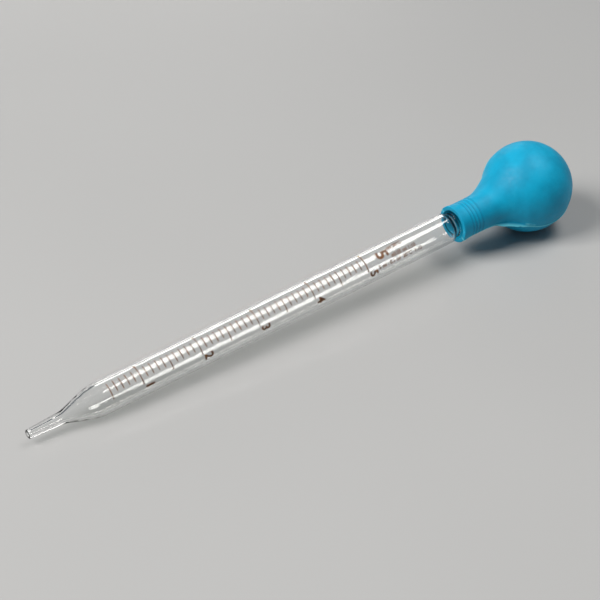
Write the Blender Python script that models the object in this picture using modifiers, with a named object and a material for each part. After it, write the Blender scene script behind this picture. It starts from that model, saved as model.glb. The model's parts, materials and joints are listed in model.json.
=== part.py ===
"""Graduated dropper pipette for 5 ml: a drawn glass tube whose necked end carries a rubber bulb.

Everything is modelled standing on the tip, along +Z, and then laid on a table. Metres.
"""
import math

import bpy
import numpy as np
from mathutils import Matrix, Vector

# Glass tube
TUBE_D = 0.0100  # outside, over the graduated body
GLASS_WALL = 0.00105
GLASS_L = 0.1675  # tip to the top of the neck's lip
TIP_D = 0.0028  # at the very end of the jet
TIP_ROOT_D = 0.0037  # where the jet starts to widen
TIP_BORE_D = 0.0013
TIP_ROOT_BORE_D = 0.0017
TIP_L = 0.0100
TAPER_L = 0.0140  # from the jet's root to the full body
TAPER_BIAS = 0.85  # under 1 widens the taper early
TIP_ROUND = 0.0003  # fire-polished edge of the jet
NECK_D = 0.0076
NECK_L = 0.0150  # from the end of the upper shoulder to the top of the lip
SHOULDER_R = 0.0026  # outside rounding of the upper shoulder
SHOULDER_FILLET_R = 0.0008
LIP_RISE = 0.0003  # how far the bead that holds the bulb on stands out from the neck
LIP_H = 0.0016
RING_RISE = 0.00025  # the same for the low ring just outside the collar
RING_H = 0.0010
RING_UP = 0.0007  # from the end of the shoulder to the middle of the ring

# Rubber bulb
BALL_D = 0.0292
BULB_WALL = 0.0015
BULB_L = 0.0461  # collar face to the far end of the ball
COLLAR_UP = 0.0010  # gap along the neck from the shoulder to the collar's face
COLLAR_FLARE = 0.0002  # the collar's outer edge over the neck behind it
COLLAR_EDGE_R = 0.0003
WAIST_DEPTH = 0.0002
MOUTH_FLARE = 0.0004
MOUTH_FLARE_L = 0.0012
FLARE_R = 0.0190  # hollow curve from the rubber neck to the ball
SLIP = 0.0003  # clearance of the rubber neck over the lip

# Finger patches of the ball's wall, which give way when the bulb is squeezed
PATCH_D = 0.0150
PATCH_GAP = 0.0003
PATCH_TURN = math.radians(52.0)  # squeeze direction above the table plane
CUTTER_MARGIN = 0.004  # how far the cutters reach past the ball

# Fineness of the solids
SIDES = 32
ARC_STEPS = 7
EDGE_STEPS = 3
TAPER_STEPS = 14
BALL_STEPS = 14
MERGE = 0.00002
SHARP_ANGLE = math.radians(40.0)

# The search for the tilt at which the pipette rests
STEEPEST_TILT = math.radians(30.0)
TILT_HALVINGS = 50

MATERIALS = {
    "clear_glass": ((0.86, 0.90, 0.89, 1.0), 0.04, 0.0),
    "blue_rubber": ((0.03, 0.42, 0.68, 1.0), 0.55, 0.0),
    "blue_rubber_grip": ((0.05, 0.47, 0.72, 1.0), 0.55, 0.0),
}


def clear_scene():
    for obj in list(bpy.data.objects):
        bpy.data.objects.remove(obj, do_unlink=True)


def make_collection(name):
    collection = bpy.data.collections.new(name)
    bpy.context.scene.collection.children.link(collection)
    return collection


def make_material(name):
    colour, roughness, metallic = MATERIALS[name]
    material = bpy.data.materials.new(name)
    material.use_nodes = True
    shader = material.node_tree.nodes["Principled BSDF"]
    shader.inputs["Base Color"].default_value = colour
    shader.inputs["Roughness"].default_value = roughness
    shader.inputs["Metallic"].default_value = metallic
    return material


def arc(centre, radius, start, end, steps):
    """Points (radius from the axis, height) on a circle, angles measured from +X towards +Z."""
    angles = np.linspace(start, end, steps)
    return [(centre[0] + radius * math.cos(a), centre[1] + radius * math.sin(a)) for a in angles]


def ease(t):
    return t * t * (3.0 - 2.0 * t)


# The glass profile

def taper(r_low, r_high):
    """The S-shaped widening from the jet to the body, bottom to top."""
    points = []
    for t in np.linspace(0.0, 1.0, TAPER_STEPS):
        share = ease(t**TAPER_BIAS)
        points.append((r_low + (r_high - r_low) * share, TIP_L + TAPER_L * t))
    return points


def shoulder_rise():
    """Height of the upper shoulder, from the body to the neck."""
    across = NECK_D / 2 + SHOULDER_FILLET_R - (TUBE_D / 2 - SHOULDER_R)
    return math.sqrt((SHOULDER_R + SHOULDER_FILLET_R) ** 2 - across**2)


def neck_z():
    return GLASS_L - NECK_L


def shoulder(inset):
    """The upper shoulder, bottom to top: a rounding that turns into a fillet, inset from the outside."""
    base = neck_z() - shoulder_rise()
    inner = (TUBE_D / 2 - SHOULDER_R, base)
    outer = (NECK_D / 2 + SHOULDER_FILLET_R, neck_z())
    turn = math.atan2(outer[1] - inner[1], outer[0] - inner[0])
    rounding = arc(inner, SHOULDER_R - inset, 0.0, turn, ARC_STEPS)
    fillet = arc(outer, SHOULDER_FILLET_R + inset, turn + math.pi, math.pi, ARC_STEPS)
    return rounding + fillet[1:]


def neck_ring():
    """A low rounded ring on the neck, bottom to top."""
    middle = neck_z() + RING_UP
    points = []
    for t in np.linspace(0.0, 1.0, ARC_STEPS):
        swell = RING_RISE * math.sin(math.pi * t)
        points.append((NECK_D / 2 + swell, middle + RING_H * (t - 0.5)))
    return points


def lip_r():
    return NECK_D / 2 + LIP_RISE


def lip():
    """The bead at the top of the neck: from the neck's outside, over the top, to the inside."""
    bore_r = NECK_D / 2 - GLASS_WALL
    half = (lip_r() - bore_r) / 2
    middle = (bore_r + half, GLASS_L - half)
    return [(NECK_D / 2, GLASS_L - LIP_H)] + arc(middle, half, 0.0, math.pi, ARC_STEPS)


def glass_profile():
    """Closed outline: down the outside from the lip to the jet, then up the bore."""
    up_outside = arc((TIP_D / 2 - TIP_ROUND, TIP_ROUND), TIP_ROUND, -math.pi / 2, 0.0, EDGE_STEPS)
    up_outside += taper(TIP_ROOT_D / 2, TUBE_D / 2)
    up_outside += shoulder(0.0)
    up_outside += neck_ring()
    over = lip()
    up_bore = [(TIP_BORE_D / 2, 0.0)]
    up_bore += taper(TIP_ROOT_BORE_D / 2, TUBE_D / 2 - GLASS_WALL)
    up_bore += shoulder(GLASS_WALL)
    down_outside = list(reversed(up_outside + over[:2]))
    down_lip = list(reversed(over[2:]))
    return down_outside + up_bore + down_lip


# The bulb profile

def collar_z():
    return neck_z() + COLLAR_UP


def ball_z():
    return collar_z() + BULB_L - BALL_D / 2


def rubber_bore_r():
    return lip_r() + SLIP


def rubber_neck_r():
    return rubber_bore_r() + BULB_WALL


def flare_centre():
    """Centre of the hollow curve that runs from the rubber neck into the ball."""
    across = rubber_neck_r() + FLARE_R
    drop = math.sqrt((BALL_D / 2 + FLARE_R) ** 2 - across**2)
    return (across, ball_z() - drop)


def ball_and_flare(inset):
    """Top to bottom: the ball from its pole, then the hollow curve down to the neck."""
    centre = flare_centre()
    meet = math.atan2(centre[1] - ball_z(), centre[0])
    ball = arc((0.0, ball_z()), BALL_D / 2 - inset, math.pi / 2, meet, BALL_STEPS)
    flare = arc(centre, FLARE_R + inset, meet + math.pi, math.pi, ARC_STEPS)
    ball[0] = (0.0, ball[0][1])
    return ball + flare[1:]


def rubber_neck():
    """Top to bottom: the slightly waisted neck, ending in the collar's thicker edge."""
    top = flare_centre()[1]
    low = collar_z() + COLLAR_EDGE_R
    points = []
    for t in np.linspace(0.0, 1.0, ARC_STEPS + 1)[1:]:
        dip = WAIST_DEPTH * math.sin(math.pi * t)
        points.append((rubber_neck_r() - dip + COLLAR_FLARE * t * t, top + (low - top) * t))
    edge = points[-1][0]
    points.append((edge - COLLAR_EDGE_R, collar_z()))
    return points


def bulb_profile():
    """Open outline from the outer pole, round the mouth of the collar, to the inner pole."""
    mouth = [
        (rubber_bore_r() + MOUTH_FLARE, collar_z()),
        (rubber_bore_r(), collar_z() + MOUTH_FLARE_L),
    ]
    inside = list(reversed(ball_and_flare(BULB_WALL)))
    return ball_and_flare(0.0) + rubber_neck() + mouth + inside


# Solids

def add_mesh(name, points, edges, collection):
    mesh = bpy.data.meshes.new(name)
    mesh.from_pydata(points, edges, [])
    obj = bpy.data.objects.new(name, mesh)
    collection.objects.link(obj)
    return obj


def turned(name, profile, closed, collection):
    """A profile (radius, height) turned round Z. A flat, not an edge, faces +X."""
    points = [(r, 0.0, z) for r, z in profile]
    edges = [(i, i + 1) for i in range(len(points) - 1)]
    if closed:
        edges.append((len(points) - 1, 0))
    source = add_mesh(name + "_profile", points, edges, collection)
    screw = source.modifiers.new("turn", "SCREW")
    screw.axis = "Z"
    screw.steps = SIDES
    screw.render_steps = SIDES
    screw.use_merge_vertices = True
    screw.merge_threshold = MERGE
    screw.use_smooth_shade = True
    mesh = evaluated_mesh(source)
    mesh.transform(Matrix.Rotation(math.pi / SIDES, 4, "Z"))
    bpy.data.objects.remove(source, do_unlink=True)
    obj = bpy.data.objects.new(name, mesh)
    collection.objects.link(obj)
    return obj


def evaluated_mesh(obj):
    depsgraph = bpy.context.evaluated_depsgraph_get()
    depsgraph.update()
    return bpy.data.meshes.new_from_object(obj.evaluated_get(depsgraph))


def squeeze_direction():
    """Unit vector from the ball's centre to the upper finger patch, for a pipette lying down."""
    return Vector((-math.sin(PATCH_TURN), -math.cos(PATCH_TURN), 0.0))


def patch_cutter(name, diameter, start, length, side, cutters):
    """A round bar from start to start + length along one side of the squeeze direction."""
    bpy.ops.mesh.primitive_cylinder_add(vertices=SIDES, radius=diameter / 2, depth=length)
    cutter = bpy.context.object
    cutter.name = name
    for owner in list(cutter.users_collection):
        owner.objects.unlink(cutter)
    cutters.objects.link(cutter)
    direction = squeeze_direction() * side
    turn = Vector((0.0, 0.0, 1.0)).rotation_difference(direction)
    place = Vector((0.0, 0.0, ball_z())) + direction * (start + length / 2)
    cutter.data.transform(Matrix.Translation(place) @ turn.to_matrix().to_4x4())
    cutter.hide_render = True
    cutter.display_type = "WIRE"
    return cutter


def cut(obj, cutter, operation):
    boolean = obj.modifiers.new(cutter.name, "BOOLEAN")
    boolean.operation = operation
    boolean.solver = "EXACT"
    boolean.object = cutter


def build_bulb(parts, cutters):
    """The bulb with two round windows in the ball's wall, and the patches that fill them.

    A patch has its origin at the ball's centre, on the line along which it is pressed in.
    """
    bulb = turned("rubber_bulb", bulb_profile(), False, parts)
    reach = BALL_D / 2 + CUTTER_MARGIN
    patches = []
    for name, side in (("squeeze_wall_upper", 1), ("squeeze_wall_lower", -1)):
        patch = bpy.data.objects.new(name, bulb.data.copy())
        patch.data.transform(Matrix.Translation((0.0, 0.0, -ball_z())))
        patch.location = (0.0, 0.0, ball_z())
        parts.objects.link(patch)
        cut(patch, patch_cutter(name + "_core", PATCH_D, 0.0, reach, side, cutters), "INTERSECT")
        window_d = PATCH_D + 2 * PATCH_GAP
        cut(bulb, patch_cutter(name + "_window", window_d, 0.0, reach, side, cutters), "DIFFERENCE")
        patches.append(patch)
    return bulb, patches


def finish_surface(obj, material):
    obj.data.materials.clear()
    obj.data.materials.append(material)
    obj.data.shade_smooth()
    obj.data.set_sharp_from_angle(angle=SHARP_ANGLE)


# Laying the pipette on the table

def points_of(obj):
    """The solid's corners in the upright frame, as an array."""
    mesh = evaluated_mesh(obj)
    mesh.transform(Matrix.Translation(obj.location))
    corners = np.empty(3 * len(mesh.vertices))
    mesh.vertices.foreach_get("co", corners)
    bpy.data.meshes.remove(mesh)
    return corners.reshape(-1, 3)


def laid(points, tilt):
    """World points of a pipette lying along +X with its bulb end raised by tilt."""
    along, down = points[:, 2], points[:, 0]
    x = along * math.cos(tilt) + down * math.sin(tilt)
    z = along * math.sin(tilt) - down * math.cos(tilt)
    return np.stack([x, points[:, 1], z], axis=1)


def resting_tilt(glass, bulb):
    """The tilt at which the glass and the ball touch the table together."""
    low, high = 0.0, STEEPEST_TILT
    for _ in range(TILT_HALVINGS):
        tilt = (low + high) / 2
        if laid(bulb, tilt)[:, 2].min() < laid(glass, tilt)[:, 2].min():
            low = tilt
        else:
            high = tilt
    return (low + high) / 2


def lay_down(glass, bulb, patches, parts, cutters):
    """Parent everything to one empty that lays the pipette down, centred over the origin."""
    clouds = [points_of(obj) for obj in (glass, bulb, *patches)]
    tilt = resting_tilt(clouds[0], clouds[1])
    world = np.concatenate([laid(cloud, tilt) for cloud in clouds])
    low, high = world.min(axis=0), world.max(axis=0)
    rest = bpy.data.objects.new("resting_frame", None)
    rest.location = (-(low[0] + high[0]) / 2, -(low[1] + high[1]) / 2, -low[2])
    rest.rotation_euler = (0.0, math.pi / 2 - tilt, 0.0)
    parts.objects.link(rest)
    for obj in (glass, bulb, *patches, *cutters.objects):
        obj.parent = rest


def main():
    clear_scene()
    parts = make_collection("dropper_pipette")
    cutters = make_collection("cutters")
    glass = turned("glass_tube", glass_profile(), True, parts)
    bulb, patches = build_bulb(parts, cutters)
    finish_surface(glass, make_material("clear_glass"))
    finish_surface(bulb, make_material("blue_rubber"))
    grip = make_material("blue_rubber_grip")
    for patch in patches:
        finish_surface(patch, grip)
    lay_down(glass, bulb, patches, parts, cutters)


main()
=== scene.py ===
"""The looks of the 5 ml dropper pipette: clear glass, amber scale and blue rubber.

The fine meshes are built in the tube's own frame, with the origin at the jet, Z along the tube and
X down towards the table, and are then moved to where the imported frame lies. Lengths are in metres.
"""
import json
import math

import bmesh
import bpy
import numpy as np
from mathutils import Matrix, Vector


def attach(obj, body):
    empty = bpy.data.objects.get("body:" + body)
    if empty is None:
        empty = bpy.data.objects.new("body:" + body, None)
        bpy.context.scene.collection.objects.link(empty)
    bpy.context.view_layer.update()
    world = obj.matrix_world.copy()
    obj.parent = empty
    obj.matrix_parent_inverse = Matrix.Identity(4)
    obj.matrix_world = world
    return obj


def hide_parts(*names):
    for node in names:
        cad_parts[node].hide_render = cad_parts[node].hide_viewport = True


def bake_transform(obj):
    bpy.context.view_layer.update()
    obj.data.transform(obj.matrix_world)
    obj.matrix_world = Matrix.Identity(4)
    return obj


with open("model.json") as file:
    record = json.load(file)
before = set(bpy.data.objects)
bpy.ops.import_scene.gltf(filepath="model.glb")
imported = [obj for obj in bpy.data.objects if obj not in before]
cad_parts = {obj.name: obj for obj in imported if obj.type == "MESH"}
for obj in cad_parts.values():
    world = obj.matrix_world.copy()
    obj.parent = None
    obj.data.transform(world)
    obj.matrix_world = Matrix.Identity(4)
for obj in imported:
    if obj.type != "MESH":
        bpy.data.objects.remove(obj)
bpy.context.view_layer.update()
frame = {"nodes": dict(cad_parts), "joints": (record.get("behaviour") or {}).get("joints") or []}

MM = 0.001

# Sizes of the solids that the fine meshes stand for
TUBE_R = 5.0 * MM
GLASS_WALL = 1.05 * MM
GLASS_L = 167.5 * MM
TIP_R, TIP_ROOT_R = 1.4 * MM, 1.85 * MM
TIP_BORE_R, TIP_ROOT_BORE_R = 0.65 * MM, 0.85 * MM
TIP_L, TAPER_L = 10.0 * MM, 14.0 * MM
TAPER_BIAS = 0.85  # under 1 widens the taper early
TIP_ROUND = 0.3 * MM
NECK_R, NECK_L = 3.8 * MM, 15.0 * MM
SHOULDER_R, SHOULDER_FILLET_R = 2.6 * MM, 0.8 * MM
LIP_RISE, LIP_H = 0.3 * MM, 1.6 * MM
RING_RISE, RING_H, RING_UP = 0.25 * MM, 1.0 * MM, 0.7 * MM
BALL_R = 14.6 * MM
BULB_WALL = 1.5 * MM
BULB_L = 46.1 * MM
COLLAR_UP = 1.0 * MM
COLLAR_FLARE = 0.2 * MM
COLLAR_EDGE_R = 0.3 * MM
WAIST_DEPTH = 0.2 * MM
MOUTH_FLARE, MOUTH_FLARE_L = 0.4 * MM, 1.2 * MM
FLARE_R = 19.0 * MM
SLIP = 0.3 * MM
SOLID_SIDES = 32
SOLID_END = 0.01 * MM  # how near the jet's end a solid's corner counts as being on it
SQUEEZE_TURN = math.radians(52.0)  # the squeeze direction above the table plane

ON_FLATS = math.cos(math.pi / SOLID_SIDES)  # fine round surfaces touch the flats of the solids
NECK_Z = GLASS_L - NECK_L
COLLAR_Z = NECK_Z + COLLAR_UP
BALL_Z = COLLAR_Z + BULB_L - BALL_R
LIP_R = NECK_R + LIP_RISE
RUBBER_BORE_R = LIP_R + SLIP
RUBBER_NECK_R = RUBBER_BORE_R + BULB_WALL

# Fineness of the glass, and the waves that drawing leaves in its bore
GLASS_SIDES = 128
EDGE_STEPS, BORE_EDGE_STEPS = 6, 5
JET_STEPS, TAPER_STEPS, BODY_STEPS, NECK_STEPS = 10, 44, 40, 8
ROUNDING_STEPS, FILLET_STEPS, RING_STEPS, LIP_STEPS = 16, 12, 13, 18
WAVE_DEPTH, WAVE_COUNT = 0.035 * MM, 9.0

# The scale: angles are heights above the table plane, seen from the side that faces -Y
ML_PITCH = 20.23 * MM
ZERO_Z = 15.52 * MM
FIRST_TICK, LAST_TICK = 5, 50  # in tenths of a millilitre
TICK_TOP = math.radians(82.0)
TICK_SHORT = math.radians(43.0)
TICK_LONG = math.radians(24.0)
TICK_ML_TOP = math.radians(101.0)
TICK_W = 0.30 * MM
TICK_THINNEST = 0.02 * MM  # half the width that is left at a tick's very ends
TICK_SLIP = math.radians(0.7)  # how unevenly the ticks start and end
TICK_W_SLIP = 0.07
TICK_SEED = 5
TICK_END_STEPS = 5
BLOB_RISE = 0.22 * MM  # the swelling of a whole millilitre's tick, near its start
BLOB_AT, BLOB_HALF_L = 0.4 * MM, 0.3 * MM
ENAMEL_UP, ENAMEL_IN = 0.035 * MM, 0.02 * MM
WRAP_STEP = 0.2 * MM  # girth between two cuts where flat marks are bent round the tube
WELD = 0.001 * MM  # points of a letter that are nearer than this become one
CUT_TOLERANCE = 0.0001 * MM
NUMERAL_H, NUMERAL_UP, NUMERAL_AT = 2.8 * MM, 1.75 * MM, math.radians(13.0)
CAPACITY_H, CAPACITY_UP, CAPACITY_AT = 4.0 * MM, 6.5 * MM, math.radians(62.0)
RATING_H = 1.15 * MM
RATING_ROWS = (  # text, height above the last tick, angle
    ("ml 20°C", 12.0 * MM, math.radians(75.0)),
    ("±0.05 ml 1:10", 14.0 * MM, math.radians(44.0)),
    ("5 ml : 0.1 ml  20°C  1:10", 12.2 * MM, math.radians(24.0)),
)
FONT_CAPITAL = 0.69  # height of the built-in font's digits, for a size of 1
LETTER_SPREAD = 0.035  # how far enamel spreads past a letter's outline, for a height of 1

# Details of the rubber that the solids leave out
BALL_STEPS, FLARE_STEPS, RUBBER_NECK_STEPS = 110, 44, 90
COLLAR_EDGE_STEPS, MOUTH_EDGE_STEPS = 7, 5
COLLAR_FACE_STEPS, MOUTH_STEPS, RUBBER_BORE_STEPS = 3, 6, 20
MOUTH_EDGE_R = 0.15 * MM
CREASES = (  # height, depth
    (157.3 * MM, 0.13 * MM),
    (158.5 * MM, 0.21 * MM),
    (159.8 * MM, 0.21 * MM),
    (161.2 * MM, 0.13 * MM),
)
CREASE_W = 0.25 * MM
BANK_SHARE, BANK_SPREAD = 0.6, 2.6  # the raised banks of a crease, over its depth and its width
CREASE_SHADE_SPREAD = 1.8  # width of a crease's band of painted shade, over the crease's own
LEAN = 0.8 * MM  # the ball sits a little askew on its neck
LEAN_FROM, LEAN_OVER = 163.5 * MM, 8.0 * MM

# The mould's seam: a low fin, with a tall web in the hollow below the ball, and the gate beside it
SEAM_AT = 170.0  # in degrees from the first edge of each half
SEAM_FAN = np.array([0.2, 0.4, 0.65, 0.95, 1.3, 1.7, 2.2, 2.8, 3.6, 4.5, 5.6])  # columns beside it
FAN_MARGIN = 1.0
COLUMNS_BEFORE, COLUMNS_AFTER = 80, 4
FIN_W, FIN_H, BACK_FIN_H = 0.34 * MM, 0.28 * MM, 0.10 * MM
FIN_FADE_L = 1.5 * MM  # the fin runs out this far before the ball's end
WEB_Z, WEB_H, WEB_HALF_L = 171.5 * MM, 1.35 * MM, 4.2 * MM
NICK_UP, NICK_DEPTH, NICK_HALF_L = 2.6 * MM, 0.25 * MM, 0.45 * MM
GATE_Z, GATE_ASIDE, GATE_RISE = 177.0 * MM, 0.9 * MM, 0.28 * MM
GATE_HALF_L, GATE_HALF_W = 1.5 * MM, 0.55 * MM
DENT_UP, DENT_DEPTH, DENT_HALF_L = 0.3 * MM, 0.20 * MM, 0.7 * MM
DENT_W_SHARE = 0.45
GATE_HIGHLIGHT_RISE = 0.45 * MM  # the rise at which the gate's painted highlight would be as pale as the fin's crest

POLE_R = 1e-7  # rows narrower than this are one point
SHARP_ANGLE, RUBBER_SHARP_ANGLE = math.radians(40.0), math.radians(50.0)

# Looks
GLASS_IOR = 1.473
GLASS_TINT = (0.976, 0.981, 0.978, 1.0)
GLASS_SHADOW = (0.86, 0.865, 0.86, 1.0)
ENAMEL_THICK = (0.050, 0.015, 0.004, 1.0)
ENAMEL_THIN = (0.34, 0.125, 0.018, 1.0)
RUBBER_DEEP = (0.001, 0.310, 0.52, 1.0)
RUBBER_LIGHT = (0.002, 0.385, 0.63, 1.0)
RUBBER_DUST = (0.05, 0.52, 0.70, 1.0)
RUBBER_SCUFF = (0.16, 0.62, 0.76, 1.0)
# painted highlight: a paler blue laid along the seam's fin and the gate
RUBBER_SEAM_HIGHLIGHT = (0.18, 0.74, 0.86, 1.0)
# painted shade: a darker blue laid in the neck's creases
RUBBER_CREASE_SHADE = (0.002, 0.15, 0.30, 1.0)
RUBBER_SHEEN = (0.30, 0.80, 0.97, 1.0)
LAMP_COLOUR = (1.0, 0.975, 0.94)
FILL_COLOUR = (0.72, 0.87, 1.0, 1.0)
WALL_COLOUR = (0.97, 0.98, 1.0, 1.0)

# Stage
FLOOR_R, FLOOR_SIDES = 1.1, 96
FLOOR_DROP = 0.05 * MM  # keeps the table top clear of the pieces that touch it
SOFTBOXES = (  # name, direction from the pipette, distance, width and height, watts
    ("overhead_softbox", (0.38, -0.06, 0.92), 1.0, (0.54, 0.32), 4.8),
    ("left_softbox", (-0.645, 0.168, 0.744), 1.1, (0.5, 0.5), 12.0),
    ("back_softbox", (0.46, 0.86, 0.24), 1.1, (0.5, 0.15), 1.2),
)
LAMPS_AIM_AT = (0.0, 0.0, 0.01)
FILL_STRENGTH, WALL_STRENGTH = 0.12, 0.40
SENSOR_W, LENS = 36.0, 116.3  # in millimetres
CAMERA_AT = (-0.28692, -0.36297, 0.35995)
CAMERA_FORWARD = (0.48664, 0.62818, -0.60710)
CAMERA_RIGHT = (0.80086, -0.59842, 0.02277)
CLIP_NEAR, CLIP_FAR = 0.01, 20.0


# The frame of the tube

def tube_frame():
    """Where the tube's own frame lies in the world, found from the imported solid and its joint."""
    joint = next(j for j in frame["joints"] if j["name"] == "bulb_pull")
    along = Vector(joint["axis"]).normalized()
    corners = np.array([v.co for v in frame["nodes"]["glass_tube"].data.vertices])
    depth = corners @ np.array(along)
    jet = corners[depth < depth.min() + SOLID_END].mean(axis=0)
    side = Vector((0.0, 1.0, 0.0))
    down = side.cross(along)
    place = Matrix((down, side, along)).transposed().to_4x4()
    place.translation = Vector(jet)
    return place


TUBE = tube_frame()


def around(height_angle):
    """The angle about the tube's Z of a point seen that far above the table plane from -Y."""
    return -math.pi / 2 - height_angle


# Curves

def ease(t):
    return t * t * (3.0 - 2.0 * t)


def ease_between(value, start, length):
    """From 0 at start to 1 a length further on."""
    return ease(min(1.0, max(0.0, (value - start) / length)))


def bell(off, power=2):
    """One at 0, falling to nothing past 1 on both sides; a higher power has a flatter top."""
    return math.exp(-(abs(off) ** power))


# Profiles, as (radius, height) points

def arc(centre, radius, start, end, steps):
    turn = np.linspace(start, end, steps)
    return [(centre[0] + radius * math.cos(a), centre[1] + radius * math.sin(a)) for a in turn]


def line(start, end, steps):
    """Points from start to end, leaving out the start."""
    shares = np.linspace(0.0, 1.0, steps + 1)[1:]
    run, rise = end[0] - start[0], end[1] - start[1]
    return [(start[0] + run * t, start[1] + rise * t) for t in shares]


def taper(r_low, r_high, wave_depth):
    """The widening from the jet to the body, with the slight waves that drawing leaves."""
    points = []
    for t in np.linspace(0.0, 1.0, TAPER_STEPS):
        r = r_low + (r_high - r_low) * ease(t**TAPER_BIAS)
        wave = wave_depth * math.sin(WAVE_COUNT * math.pi * t) * math.sin(math.pi * t)
        points.append((r + wave, TIP_L + TAPER_L * t))
    return points


def shoulder(inset):
    """From the body to the neck: a rounding that turns into a fillet, inset from the outside."""
    across = NECK_R + SHOULDER_FILLET_R - (TUBE_R - SHOULDER_R)
    rise = math.sqrt((SHOULDER_R + SHOULDER_FILLET_R) ** 2 - across**2)
    inner = (TUBE_R - SHOULDER_R, NECK_Z - rise)
    outer = (NECK_R + SHOULDER_FILLET_R, NECK_Z)
    turn = math.atan2(rise, across)
    rounding = arc(inner, SHOULDER_R - inset, 0.0, turn, ROUNDING_STEPS)
    fillet = arc(outer, SHOULDER_FILLET_R + inset, turn + math.pi, math.pi, FILLET_STEPS)
    return rounding + fillet[1:]


def neck_ring():
    points = []
    for t in np.linspace(0.0, 1.0, RING_STEPS):
        swell = RING_RISE * math.sin(math.pi * t) ** 2
        points.append((NECK_R + swell, NECK_Z + RING_UP + RING_H * (t - 0.5)))
    return points


def glass_profile():
    """Down the outside from the lip to the jet, then up the bore: a closed outline."""
    jet_edge = (TIP_R - TIP_ROUND, TIP_ROUND)
    outside = arc(jet_edge, TIP_ROUND, -math.pi / 2, 0.0, EDGE_STEPS)
    outside += line(outside[-1], (TIP_ROOT_R, TIP_L), JET_STEPS)[:-1]
    outside += taper(TIP_ROOT_R, TUBE_R, 0.0)
    outside += line(outside[-1], shoulder(0.0)[0], BODY_STEPS)[:-1]
    outside += shoulder(0.0) + neck_ring()
    outside += line(outside[-1], (NECK_R, GLASS_L - LIP_H), NECK_STEPS)
    half = (LIP_R - (NECK_R - GLASS_WALL)) / 2
    lip_middle = (NECK_R - GLASS_WALL + half, GLASS_L - half)
    lip = arc(lip_middle, half, 0.0, math.pi, LIP_STEPS)
    bore_edge = (TIP_BORE_R + TIP_ROUND, TIP_ROUND)
    bore = arc(bore_edge, TIP_ROUND, -math.pi / 2, -math.pi, BORE_EDGE_STEPS)
    bore += line(bore[-1], (TIP_ROOT_BORE_R, TIP_L), JET_STEPS)[:-1]
    bore += taper(TIP_ROOT_BORE_R, TUBE_R - GLASS_WALL, WAVE_DEPTH)
    bore += line(bore[-1], shoulder(GLASS_WALL)[0], BODY_STEPS)[:-1]
    bore += shoulder(GLASS_WALL)
    bore += line(bore[-1], lip[-1], NECK_STEPS)[:-1]
    return list(reversed(outside + lip)) + bore


def flare_centre():
    across = RUBBER_NECK_R + FLARE_R
    drop = math.sqrt((BALL_R + FLARE_R) ** 2 - across**2)
    return (across, BALL_Z - drop)


def ball_and_flare(inset):
    """From the ball's pole down the hollow curve to the neck."""
    centre = flare_centre()
    meet = math.atan2(centre[1] - BALL_Z, centre[0])
    ball = arc((0.0, BALL_Z), BALL_R - inset, math.pi / 2, meet, BALL_STEPS)
    ball[0] = (0.0, ball[0][1])
    return ball + arc(centre, FLARE_R + inset, meet + math.pi, math.pi, FLARE_STEPS)[1:]


def crease(z):
    """How far the rubber neck stands out at height z: fine grooves with raised banks."""
    rise = 0.0
    for at, depth in CREASES:
        off = (z - at) / CREASE_W
        rise += depth * (BANK_SHARE * bell(off / BANK_SPREAD) - bell(off))
    return rise


def groove_share(z):
    """How strong the painted shade in the creases is at height z: one in the middle of a groove,
    falling to nothing beside it.
    """
    return max(bell((z - at) / (CREASE_SHADE_SPREAD * CREASE_W)) for at, _ in CREASES)


def rubber_neck():
    """The waisted neck with its creases, down to the rounded edge of the collar."""
    top, low = flare_centre()[1], COLLAR_Z + COLLAR_EDGE_R
    points = []
    for t in np.linspace(0.0, 1.0, RUBBER_NECK_STEPS + 1)[1:]:
        z = top + (low - top) * t
        r = RUBBER_NECK_R - WAIST_DEPTH * math.sin(math.pi * t) + COLLAR_FLARE * t * t
        points.append((r + crease(z), z))
    edge = (points[-1][0] - COLLAR_EDGE_R, low)
    return points + arc(edge, COLLAR_EDGE_R, 0.0, -math.pi / 2, COLLAR_EDGE_STEPS)[1:]


def bulb_outline():
    """The outer surface from the pole to the mouth, and the inner one from there to the pole."""
    outer = ball_and_flare(0.0) + rubber_neck()
    face_r = RUBBER_BORE_R + MOUTH_FLARE
    outer += line(outer[-1], (face_r + MOUTH_EDGE_R, COLLAR_Z), COLLAR_FACE_STEPS)
    mouth_edge = (face_r + MOUTH_EDGE_R, COLLAR_Z + MOUTH_EDGE_R)
    inner = arc(mouth_edge, MOUTH_EDGE_R, -math.pi / 2, -math.pi, MOUTH_EDGE_STEPS)[1:]
    inner += line(inner[-1], (RUBBER_BORE_R, COLLAR_Z + MOUTH_FLARE_L), MOUTH_STEPS)
    inner_ball = ball_and_flare(BULB_WALL)
    inner += line(inner[-1], inner_ball[-1], RUBBER_BORE_STEPS)[:-1]
    inner += list(reversed(inner_ball))
    return outer, inner


# Mesh building

def finish_mesh(bm, name, material, sharp=SHARP_ANGLE):
    """Makes the object in its place, with each point's tube coordinates kept for the materials."""
    mesh = bpy.data.meshes.new(name)
    bm.to_mesh(mesh)
    bm.free()
    local = mesh.attributes.new("local", "FLOAT_VECTOR", "POINT")
    local.data.foreach_set("vector", [c for v in mesh.vertices for c in v.co])
    mesh.transform(TUBE)
    mesh.shade_smooth()
    mesh.set_sharp_from_angle(angle=sharp)
    mesh.materials.append(material)
    obj = bpy.data.objects.new(name, mesh)
    bpy.context.scene.collection.objects.link(obj)
    return obj


def turned(profile, sides):
    """A closed profile turned all the way round."""
    bm = bmesh.new()
    turns = [2.0 * math.pi * k / sides for k in range(sides)]
    rings = []
    for radius, z in profile:
        r = radius * ON_FLATS
        rings.append([bm.verts.new((r * math.cos(a), r * math.sin(a), z)) for a in turns])
    for i, ring in enumerate(rings):
        below = rings[(i + 1) % len(rings)]
        for k in range(sides):
            n = (k + 1) % sides
            bm.faces.new((ring[k], below[k], below[n], ring[n]))
    return bm


# Materials

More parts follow.
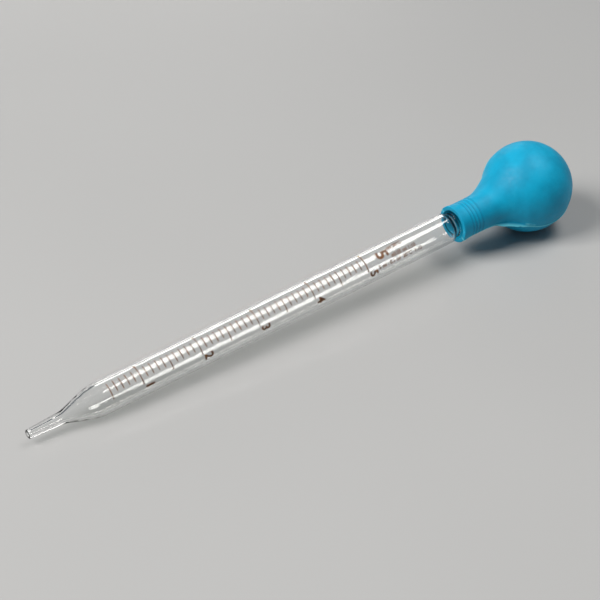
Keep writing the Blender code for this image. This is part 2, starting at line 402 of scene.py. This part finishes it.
def new_material(name):
    material = bpy.data.materials.new(name)
    material.use_nodes = True
    tree = material.node_tree
    return material, tree, tree.nodes["Principled BSDF"]


def node(tree, kind, **values):
    """A new node, each value given to the input of that name or else to the node's own setting."""
    made = tree.nodes.new(kind)
    for key, value in values.items():
        if key in made.inputs:
            made.inputs[key].default_value = value
        else:
            setattr(made, key, value)
    return made


def set_inputs(shader, values):
    for name, value in values.items():
        shader.inputs[name].default_value = value


def local_coords(tree, scale=(1.0, 1.0, 1.0)):
    """Coordinates in the tube's own frame, in millimetres times scale."""
    source = node(tree, "ShaderNodeAttribute", attribute_name="local")
    mapping = node(tree, "ShaderNodeMapping")
    mapping.inputs["Scale"].default_value = [s / MM for s in scale]
    tree.links.new(source.outputs["Vector"], mapping.inputs["Vector"])
    return mapping.outputs["Vector"]


def point_value(tree, name):
    """A number that the mesh keeps at each of its points."""
    return node(tree, "ShaderNodeAttribute", attribute_name=name).outputs["Fac"]


def noise(tree, vector, scale, detail=3.0, roughness=0.5):
    made = node(tree, "ShaderNodeTexNoise", Scale=scale, Detail=detail, Roughness=roughness)
    tree.links.new(vector, made.inputs["Vector"])
    return made.outputs["Fac"]


def ramp(tree, value, stops):
    """A value turned into a colour, by (position, colour) stops."""
    made = tree.nodes.new("ShaderNodeValToRGB")
    for element, (position, colour) in zip(made.color_ramp.elements, stops):
        element.position = position
        element.color = colour
    tree.links.new(value, made.inputs["Fac"])
    return made.outputs["Color"]


def grey(v):
    return (v, v, v, 1.0)


def grey_ramp(tree, value, low, high):
    """A value turned into a grey, from (position, grey) to (position, grey)."""
    return ramp(tree, value, [(position, grey(v)) for position, v in (low, high)])


def tinted(tree, share, colour, tint):
    """The colour, with a share of it replaced by a fixed tint."""
    made = node(tree, "ShaderNodeMix", data_type="RGBA")
    factor, below, above = made.inputs[0], made.inputs[6], made.inputs[7]
    tree.links.new(share, factor)
    tree.links.new(colour, below)
    above.default_value = tint
    return made.outputs[2]


def bump(tree, height, distance, strength, normal=None):
    made = node(tree, "ShaderNodeBump", Strength=strength, Distance=distance)
    tree.links.new(height, made.inputs["Height"])
    if normal is not None:
        tree.links.new(normal, made.inputs["Normal"])
    return made.outputs["Normal"]


def glass_material():
    """Clear drawn glass: faint lengthwise draw lines, slight waves and a trace of handling."""
    material, tree, shader = new_material("clear_glass")
    set_inputs(shader, {"Base Color": GLASS_TINT, "IOR": GLASS_IOR, "Transmission Weight": 1.0})
    marks = noise(tree, local_coords(tree, (1.0, 1.0, 0.35)), scale=0.9, detail=4.0, roughness=0.6)
    tree.links.new(grey_ramp(tree, marks, (0.45, 0.012), (0.80, 0.05)), shader.inputs["Roughness"])
    draw_lines = noise(tree, local_coords(tree, (2.2, 2.2, 0.035)), scale=1.0, detail=2.0)
    waves = noise(tree, local_coords(tree, (0.25, 0.25, 0.18)), scale=1.0, detail=1.0)
    normal = bump(tree, draw_lines, distance=0.00004, strength=0.10)
    normal = bump(tree, waves, distance=0.0002, strength=0.12, normal=normal)
    tree.links.new(normal, shader.inputs["Normal"])
    let_light_through(tree, shader)
    return material


def let_light_through(tree, shader):
    """Lets lamps and soft light pass straight through, so that the glass has a pale shadow."""
    clear = node(tree, "ShaderNodeBsdfTransparent")
    clear.inputs["Color"].default_value = GLASS_SHADOW
    path = tree.nodes.new("ShaderNodeLightPath")
    result = shader
    for kind in ("Is Shadow Ray", "Is Diffuse Ray"):
        mix = tree.nodes.new("ShaderNodeMixShader")
        tree.links.new(path.outputs[kind], mix.inputs[0])
        tree.links.new(result.outputs[0], mix.inputs[1])
        tree.links.new(clear.outputs[0], mix.inputs[2])
        result = mix
    tree.links.new(result.outputs[0], tree.nodes["Material Output"].inputs["Surface"])


def enamel_material():
    """Amber stain fired into the glass: dark where thick, golden where thin."""
    material, tree, shader = new_material("amber_enamel")
    coords = local_coords(tree)
    patches = noise(tree, coords, scale=2.4, detail=4.0, roughness=0.6)
    colour = ramp(tree, patches, [(0.40, ENAMEL_THICK), (0.68, ENAMEL_THIN)])
    tree.links.new(colour, shader.inputs["Base Color"])
    tree.links.new(grey_ramp(tree, patches, (0.3, 0.30), (0.7, 0.5)), shader.inputs["Roughness"])
    grain = bump(tree, noise(tree, coords, scale=9.0), distance=0.00003, strength=0.5)
    tree.links.new(grain, shader.inputs["Normal"])
    return material


def rubber_material():
    """Matt blue rubber: cloudy, dusted and scuffed, with a painted highlight on the seam and painted
    shade in the creases.
    """
    material, tree, shader = new_material("blue_rubber")
    coords = local_coords(tree)
    clouds = noise(tree, coords, scale=0.16, detail=3.0, roughness=0.55)
    colour = ramp(tree, clouds, [(0.35, RUBBER_DEEP), (0.65, RUBBER_LIGHT)])
    film = noise(tree, coords, scale=0.55, detail=8.0, roughness=0.72)
    dust = grey_ramp(tree, film, (0.52, 0.0), (0.78, 0.16))
    colour = tinted(tree, dust, colour, RUBBER_DUST)
    specks = noise(tree, coords, scale=3.8, detail=2.0, roughness=0.4)
    scuffs = grey_ramp(tree, specks, (0.74, 0.0), (0.80, 0.35))
    colour = tinted(tree, scuffs, colour, RUBBER_SCUFF)
    # painted highlight along the seam's fin and the gate
    crest_highlight = grey_ramp(tree, point_value(tree, "seam_highlight"), (0.2, 0.0), (0.75, 0.75))
    colour = tinted(tree, crest_highlight, colour, RUBBER_SEAM_HIGHLIGHT)
    # painted shade in the neck's creases
    shade = grey_ramp(tree, point_value(tree, "crease_shade"), (0.3, 0.0), (0.9, 0.38))
    colour = tinted(tree, shade, colour, RUBBER_CREASE_SHADE)
    tree.links.new(colour, shader.inputs["Base Color"])
    shine = noise(tree, coords, scale=0.8, detail=5.0, roughness=0.6)
    tree.links.new(grey_ramp(tree, shine, (0.3, 0.44), (0.7, 0.60)), shader.inputs["Roughness"])
    set_inputs(shader, {
        "Sheen Weight": 0.10,
        "Sheen Roughness": 0.35,
        "Sheen Tint": RUBBER_SHEEN,
        "Specular IOR Level": 0.25,
    })
    pores = noise(tree, coords, scale=5.5, detail=6.0, roughness=0.65)
    skin = bump(tree, pores, distance=0.00006, strength=0.35)
    hollows = noise(tree, coords, scale=0.22, detail=2.0)
    normal = bump(tree, hollows, distance=0.0006, strength=0.25, normal=skin)
    tree.links.new(normal, shader.inputs["Normal"])
    return material


def floor_material():
    """A pale table top, nearly matt and very slightly clouded."""
    material, tree, shader = new_material("pale_table")
    coords = node(tree, "ShaderNodeTexCoord").outputs["Object"]
    clouds = noise(tree, coords, scale=3.0)
    tree.links.new(grey_ramp(tree, clouds, (0.3, 0.43), (0.7, 0.46)), shader.inputs["Base Color"])
    set_inputs(shader, {"Roughness": 0.28, "Specular IOR Level": 0.22})
    return material


# Glass

def build_glass(material):
    glass = finish_mesh(turned(glass_profile(), GLASS_SIDES), "glass_body", material)
    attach(glass, "glass")
    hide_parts("glass_tube")


# Scale

def wrapped(u, up, z, middle):
    """A point u along the tube's girth from the angle middle, up above the glass, at height z."""
    r = TUBE_R * ON_FLATS
    a = around(middle) + u / r
    return ((r + up) * math.cos(a), (r + up) * math.sin(a), z)


def tick_outline(length, width, blob):
    """A slim bar as pairs (u, half width), with round ends and a swelling near its start."""
    half = width / 2
    turn = np.linspace(0.0, math.pi / 2, TICK_END_STEPS)
    left = [(half - half * math.cos(a), half * math.sin(a)) for a in turn]
    steps = max(4, int(length / WRAP_STEP))
    middle = [(u, half) for u in np.linspace(half, length - half, steps)]
    right = [(length - u, w) for u, w in reversed(left)]
    bar = left[:-1] + middle + right[1:]
    return [(u, w + blob * bell((u - BLOB_AT) / BLOB_HALF_L)) for u, w in bar]


def add_tick(bm, z, top, bottom, width, blob):
    length = (top - bottom) * TUBE_R * ON_FLATS
    rows = []
    for u, half in tick_outline(length, width, blob):
        w = max(half, TICK_THINNEST)
        corners = ((-w, -ENAMEL_IN), (w, -ENAMEL_IN), (w, ENAMEL_UP), (-w, ENAMEL_UP))
        rows.append([bm.verts.new(wrapped(u, up, z + across, top)) for across, up in corners])
    for a, b in zip(rows, rows[1:]):
        for k in range(4):
            n = (k + 1) % 4
            bm.faces.new((a[k], a[n], b[n], b[k]))
    bm.faces.new(list(reversed(rows[0])))
    bm.faces.new(rows[-1])


def build_ticks(material):
    bm = bmesh.new()
    rng = np.random.default_rng(TICK_SEED)
    for tenth in range(FIRST_TICK, LAST_TICK + 1):
        top, bottom, blob = TICK_TOP, TICK_SHORT, 0.0
        if tenth % 5 == 0:
            bottom = TICK_LONG
        if tenth % 10 == 0:
            top, blob = TICK_ML_TOP, BLOB_RISE
        slip_top, slip_bottom, slip_width = rng.normal(0.0, 1.0, 3)
        top += TICK_SLIP * slip_top
        bottom += TICK_SLIP * slip_bottom
        z = ZERO_Z + ML_PITCH * tenth / 10
        add_tick(bm, z, top, bottom, TICK_W * (1.0 + TICK_W_SLIP * slip_width), blob)
    bmesh.ops.recalc_face_normals(bm, faces=bm.faces)
    ticks = finish_mesh(bm, "scale_ticks", material)
    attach(ticks, "glass")


def text_mesh(text, height):
    """Letters as a mesh as thick as the enamel, centred on the origin, in the XY plane."""
    curve = bpy.data.curves.new("letters", "FONT")
    curve.body = text
    curve.size = height / FONT_CAPITAL
    curve.align_x = "CENTER"
    curve.align_y = "CENTER"
    curve.extrude = (ENAMEL_UP + ENAMEL_IN) / 2
    curve.offset = LETTER_SPREAD * height
    obj = bpy.data.objects.new("letters", curve)
    bpy.context.scene.collection.objects.link(obj)
    depsgraph = bpy.context.evaluated_depsgraph_get()
    mesh = bpy.data.meshes.new_from_object(obj.evaluated_get(depsgraph))
    bpy.data.objects.remove(obj, do_unlink=True)
    return mesh


def add_text(bm, text, height, z, middle, along=False):
    """Letters wrapped round the glass, which read round the tube or, with along, up the tube."""
    mesh = text_mesh(text, height)
    if along:
        mesh.transform(Matrix.Rotation(math.pi / 2, 4, "Z"))
    letters = bmesh.new()
    letters.from_mesh(mesh)
    bpy.data.meshes.remove(mesh)
    bmesh.ops.remove_doubles(letters, verts=letters.verts, dist=WELD)
    low = min(v.co.x for v in letters.verts)
    high = max(v.co.x for v in letters.verts)
    for u in np.arange(low, high, WRAP_STEP)[1:]:
        bmesh.ops.bisect_plane(
            letters,
            geom=letters.verts[:] + letters.edges[:] + letters.faces[:],
            plane_co=(u, 0, 0),
            plane_no=(1, 0, 0),
            dist=CUT_TOLERANCE,
        )
    lift = (ENAMEL_UP - ENAMEL_IN) / 2
    centre = (low + high) / 2
    made = {}
    for v in letters.verts:
        made[v] = bm.verts.new(wrapped(v.co.x - centre, v.co.z + lift, z + v.co.y, middle))
    for face in letters.faces:
        bm.faces.new([made[v] for v in face.verts])
    letters.free()


def build_numerals(material):
    bm = bmesh.new()
    for ml in range(1, LAST_TICK // 10 + 1):
        add_text(bm, str(ml), NUMERAL_H, ZERO_Z + ML_PITCH * ml + NUMERAL_UP, NUMERAL_AT)
    numerals = finish_mesh(bm, "scale_numerals", material)
    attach(numerals, "glass")


def build_capacity_mark(material):
    """The large 5 above the scale, and the rows of small print beside it."""
    bm = bmesh.new()
    scale_end = ZERO_Z + ML_PITCH * LAST_TICK / 10
    add_text(bm, "5", CAPACITY_H, scale_end + CAPACITY_UP, CAPACITY_AT)
    for text, up, middle in RATING_ROWS:
        add_text(bm, text, RATING_H, scale_end + up, middle, along=True)
    rating = finish_mesh(bm, "capacity_mark", material)
    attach(rating, "glass")


# Bulb

def fin_height(z, front):
    """How far the seam's fin stands out at height z, tallest in the web on the front half."""
    height = FIN_H if front else BACK_FIN_H
    if front:
        height += WEB_H * bell((z - WEB_Z) / WEB_HALF_L, 4)
        height -= NICK_DEPTH * bell((z - WEB_Z - NICK_UP) / NICK_HALF_L)
    return height * min(1.0, max(0.0, (BALL_Z + BALL_R - z) / FIN_FADE_L))


def gate_rise(z, across):
    """The nub where rubber entered the mould: a small raised pad with a dented middle."""
    side = (across - GATE_ASIDE) / GATE_HALF_W
    pad = GATE_RISE * bell((z - GATE_Z) / GATE_HALF_L, 6) * bell(side, 6)
    dent_along = (z - GATE_Z - DENT_UP) / DENT_HALF_L
    return pad - DENT_DEPTH * bell(dent_along, 4) * bell(side / DENT_W_SHARE, 4)


def seam_relief(z, across, front):
    """How far the seam raises the rubber there, and how pale its painted highlight makes it, from 0
    to 1.
    """
    crest_highlight = bell(across / FIN_W)
    rise = fin_height(z, front) * crest_highlight
    if front:
        gate = gate_rise(z, -across)
        rise = max(rise, gate)
        crest_highlight = max(crest_highlight, gate / GATE_HIGHLIGHT_RISE)
    return rise, crest_highlight


def half_turns():
    """Angles over half a turn, close together where the seam is."""
    near = np.concatenate([SEAM_AT - SEAM_FAN[::-1], [SEAM_AT], SEAM_AT + SEAM_FAN])
    before = np.linspace(0.0, near[0] - FAN_MARGIN, COLUMNS_BEFORE)
    after = np.linspace(near[-1] + FAN_MARGIN, 180.0, COLUMNS_AFTER)
    return np.radians(np.concatenate([before, near, after]))


def bulb_half(name, start, front, material):
    """One half of the bulb: closed, with the cut faces lying in the plane between the two walls."""
    outer, inner = bulb_outline()
    turns = half_turns()
    bm = bmesh.new()
    # per-point shares of the painted seam highlight and of the painted shade in the creases
    seam_highlight = bm.verts.layers.float.new("seam_highlight")
    crease_shade = bm.verts.layers.float.new("crease_shade")

    def row_at(r, z, outside):
        lean = LEAN * ease_between(z, LEAN_FROM, LEAN_OVER)
        if r < POLE_R:
            return [bm.verts.new((0.0, lean, z))] * len(turns)
        row = []
        for a in turns:
            rise, crest_highlight = 0.0, 0.0
            if outside:
                rise, crest_highlight = seam_relief(z, (a - math.radians(SEAM_AT)) * r, front)
            reach = r * ON_FLATS + rise
            x, y = reach * math.cos(start + a), reach * math.sin(start + a)
            vert = bm.verts.new((x, y + lean, z))
            vert[seam_highlight] = crest_highlight
            vert[crease_shade] = groove_share(z) if outside else 0.0
            row.append(vert)
        return row

    rows = [row_at(r, z, True) for r, z in outer] + [row_at(r, z, False) for r, z in inner]
    for a, b in zip(rows, rows[1:]):
        for k in range(len(turns) - 1):
            corners = []
            for v in (a[k], b[k], b[k + 1], a[k + 1]):
                if v not in corners:
                    corners.append(v)
            bm.faces.new(corners)
    close_cut(bm, rows, len(outer))
    bmesh.ops.recalc_face_normals(bm, faces=bm.faces)
    return finish_mesh(bm, name, material, sharp=RUBBER_SHARP_ANGLE)


def close_cut(bm, rows, outer_count):
    """Closes the wall's two cut faces, joining outer points to the inner points level with them."""
    outer, inner = rows[:outer_count], list(reversed(rows[outer_count:]))
    for side in (0, -1):
        i, j = 0, 0
        while i < len(outer) - 1 or j < len(inner) - 1:
            outer_left, inner_left = i < len(outer) - 1, j < len(inner) - 1
            step_outer = outer_left
            if outer_left and inner_left:
                step_outer = outer[i + 1][side].co.z >= inner[j + 1][side].co.z
            if step_outer:
                bm.faces.new((outer[i][side], outer[i + 1][side], inner[j][side]))
                i += 1
            else:
                bm.faces.new((outer[i][side], inner[j + 1][side], inner[j][side]))
                j += 1


def build_bulb(material):
    """The two mould halves, put in place of the solids that they stand for."""
    halves = (
        ("bulb_upper_half", "upper_wall", 0.0, ("squeeze_wall_upper", "rubber_bulb")),
        ("bulb_lower_half", "lower_wall", math.pi, ("squeeze_wall_lower",)),
    )
    for name, body, turn, nodes in halves:
        angle = around(SQUEEZE_TURN) + turn
        half = bulb_half(name, angle - math.pi / 2, body == "upper_wall", material)
        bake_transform(half)
        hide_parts(*nodes)


# Stage

def build_floor():
    bpy.ops.mesh.primitive_circle_add(
        vertices=FLOOR_SIDES, radius=FLOOR_R, fill_type="NGON", location=(0, 0, -FLOOR_DROP)
    )
    floor = bpy.context.object
    floor.name = "table_top"
    floor.data.materials.append(floor_material())


def softbox(name, direction, distance, size, power):
    """A soft rectangular lamp that shines on the pipette."""
    data = bpy.data.lights.new(name, "AREA")
    data.shape = "RECTANGLE"
    data.size, data.size_y = size
    data.energy = power
    data.color = LAMP_COLOUR
    light = bpy.data.objects.new(name, data)
    target = Vector(LAMPS_AIM_AT)
    light.location = target + Vector(direction).normalized() * distance
    light.rotation_euler = (target - light.location).to_track_quat("-Z", "Y").to_euler()
    bpy.context.scene.collection.objects.link(light)


def build_lights():
    for name, direction, distance, size, power in SOFTBOXES:
        softbox(name, direction, distance, size, power)


def build_world():
    """A dim bluish fill for everything that is lit, and a pale wall where the camera sees it."""
    world = bpy.data.worlds.new("studio")
    world.use_nodes = True
    tree = world.node_tree
    fill = tree.nodes["Background"]
    set_inputs(fill, {"Color": FILL_COLOUR, "Strength": FILL_STRENGTH})
    wall = node(tree, "ShaderNodeBackground", Color=WALL_COLOUR, Strength=WALL_STRENGTH)
    path = tree.nodes.new("ShaderNodeLightPath")
    mix = tree.nodes.new("ShaderNodeMixShader")
    tree.links.new(path.outputs["Is Camera Ray"], mix.inputs[0])
    tree.links.new(fill.outputs[0], mix.inputs[1])
    tree.links.new(wall.outputs[0], mix.inputs[2])
    tree.links.new(mix.outputs[0], tree.nodes["World Output"].inputs["Surface"])
    bpy.context.scene.world = world


def build_camera():
    """The camera as it stood for the photograph."""
    data = bpy.data.cameras.new("camera")
    data.sensor_width = SENSOR_W
    data.lens = LENS
    data.clip_start, data.clip_end = CLIP_NEAR, CLIP_FAR
    camera = bpy.data.objects.new("camera", data)
    forward = Vector(CAMERA_FORWARD).normalized()
    right = Vector(CAMERA_RIGHT).normalized()
    up = right.cross(forward)
    camera.matrix_world = Matrix((right, up, -forward)).transposed().to_4x4()
    camera.location = CAMERA_AT
    bpy.context.scene.collection.objects.link(camera)
    bpy.context.scene.camera = camera


build_camera()
build_glass(glass_material())
enamel = enamel_material()
build_ticks(enamel)
build_numerals(enamel)
build_capacity_mark(enamel)
build_bulb(rubber_material())
build_floor()
build_lights()
build_world()
bpy.context.scene.view_settings.view_transform = "Standard"
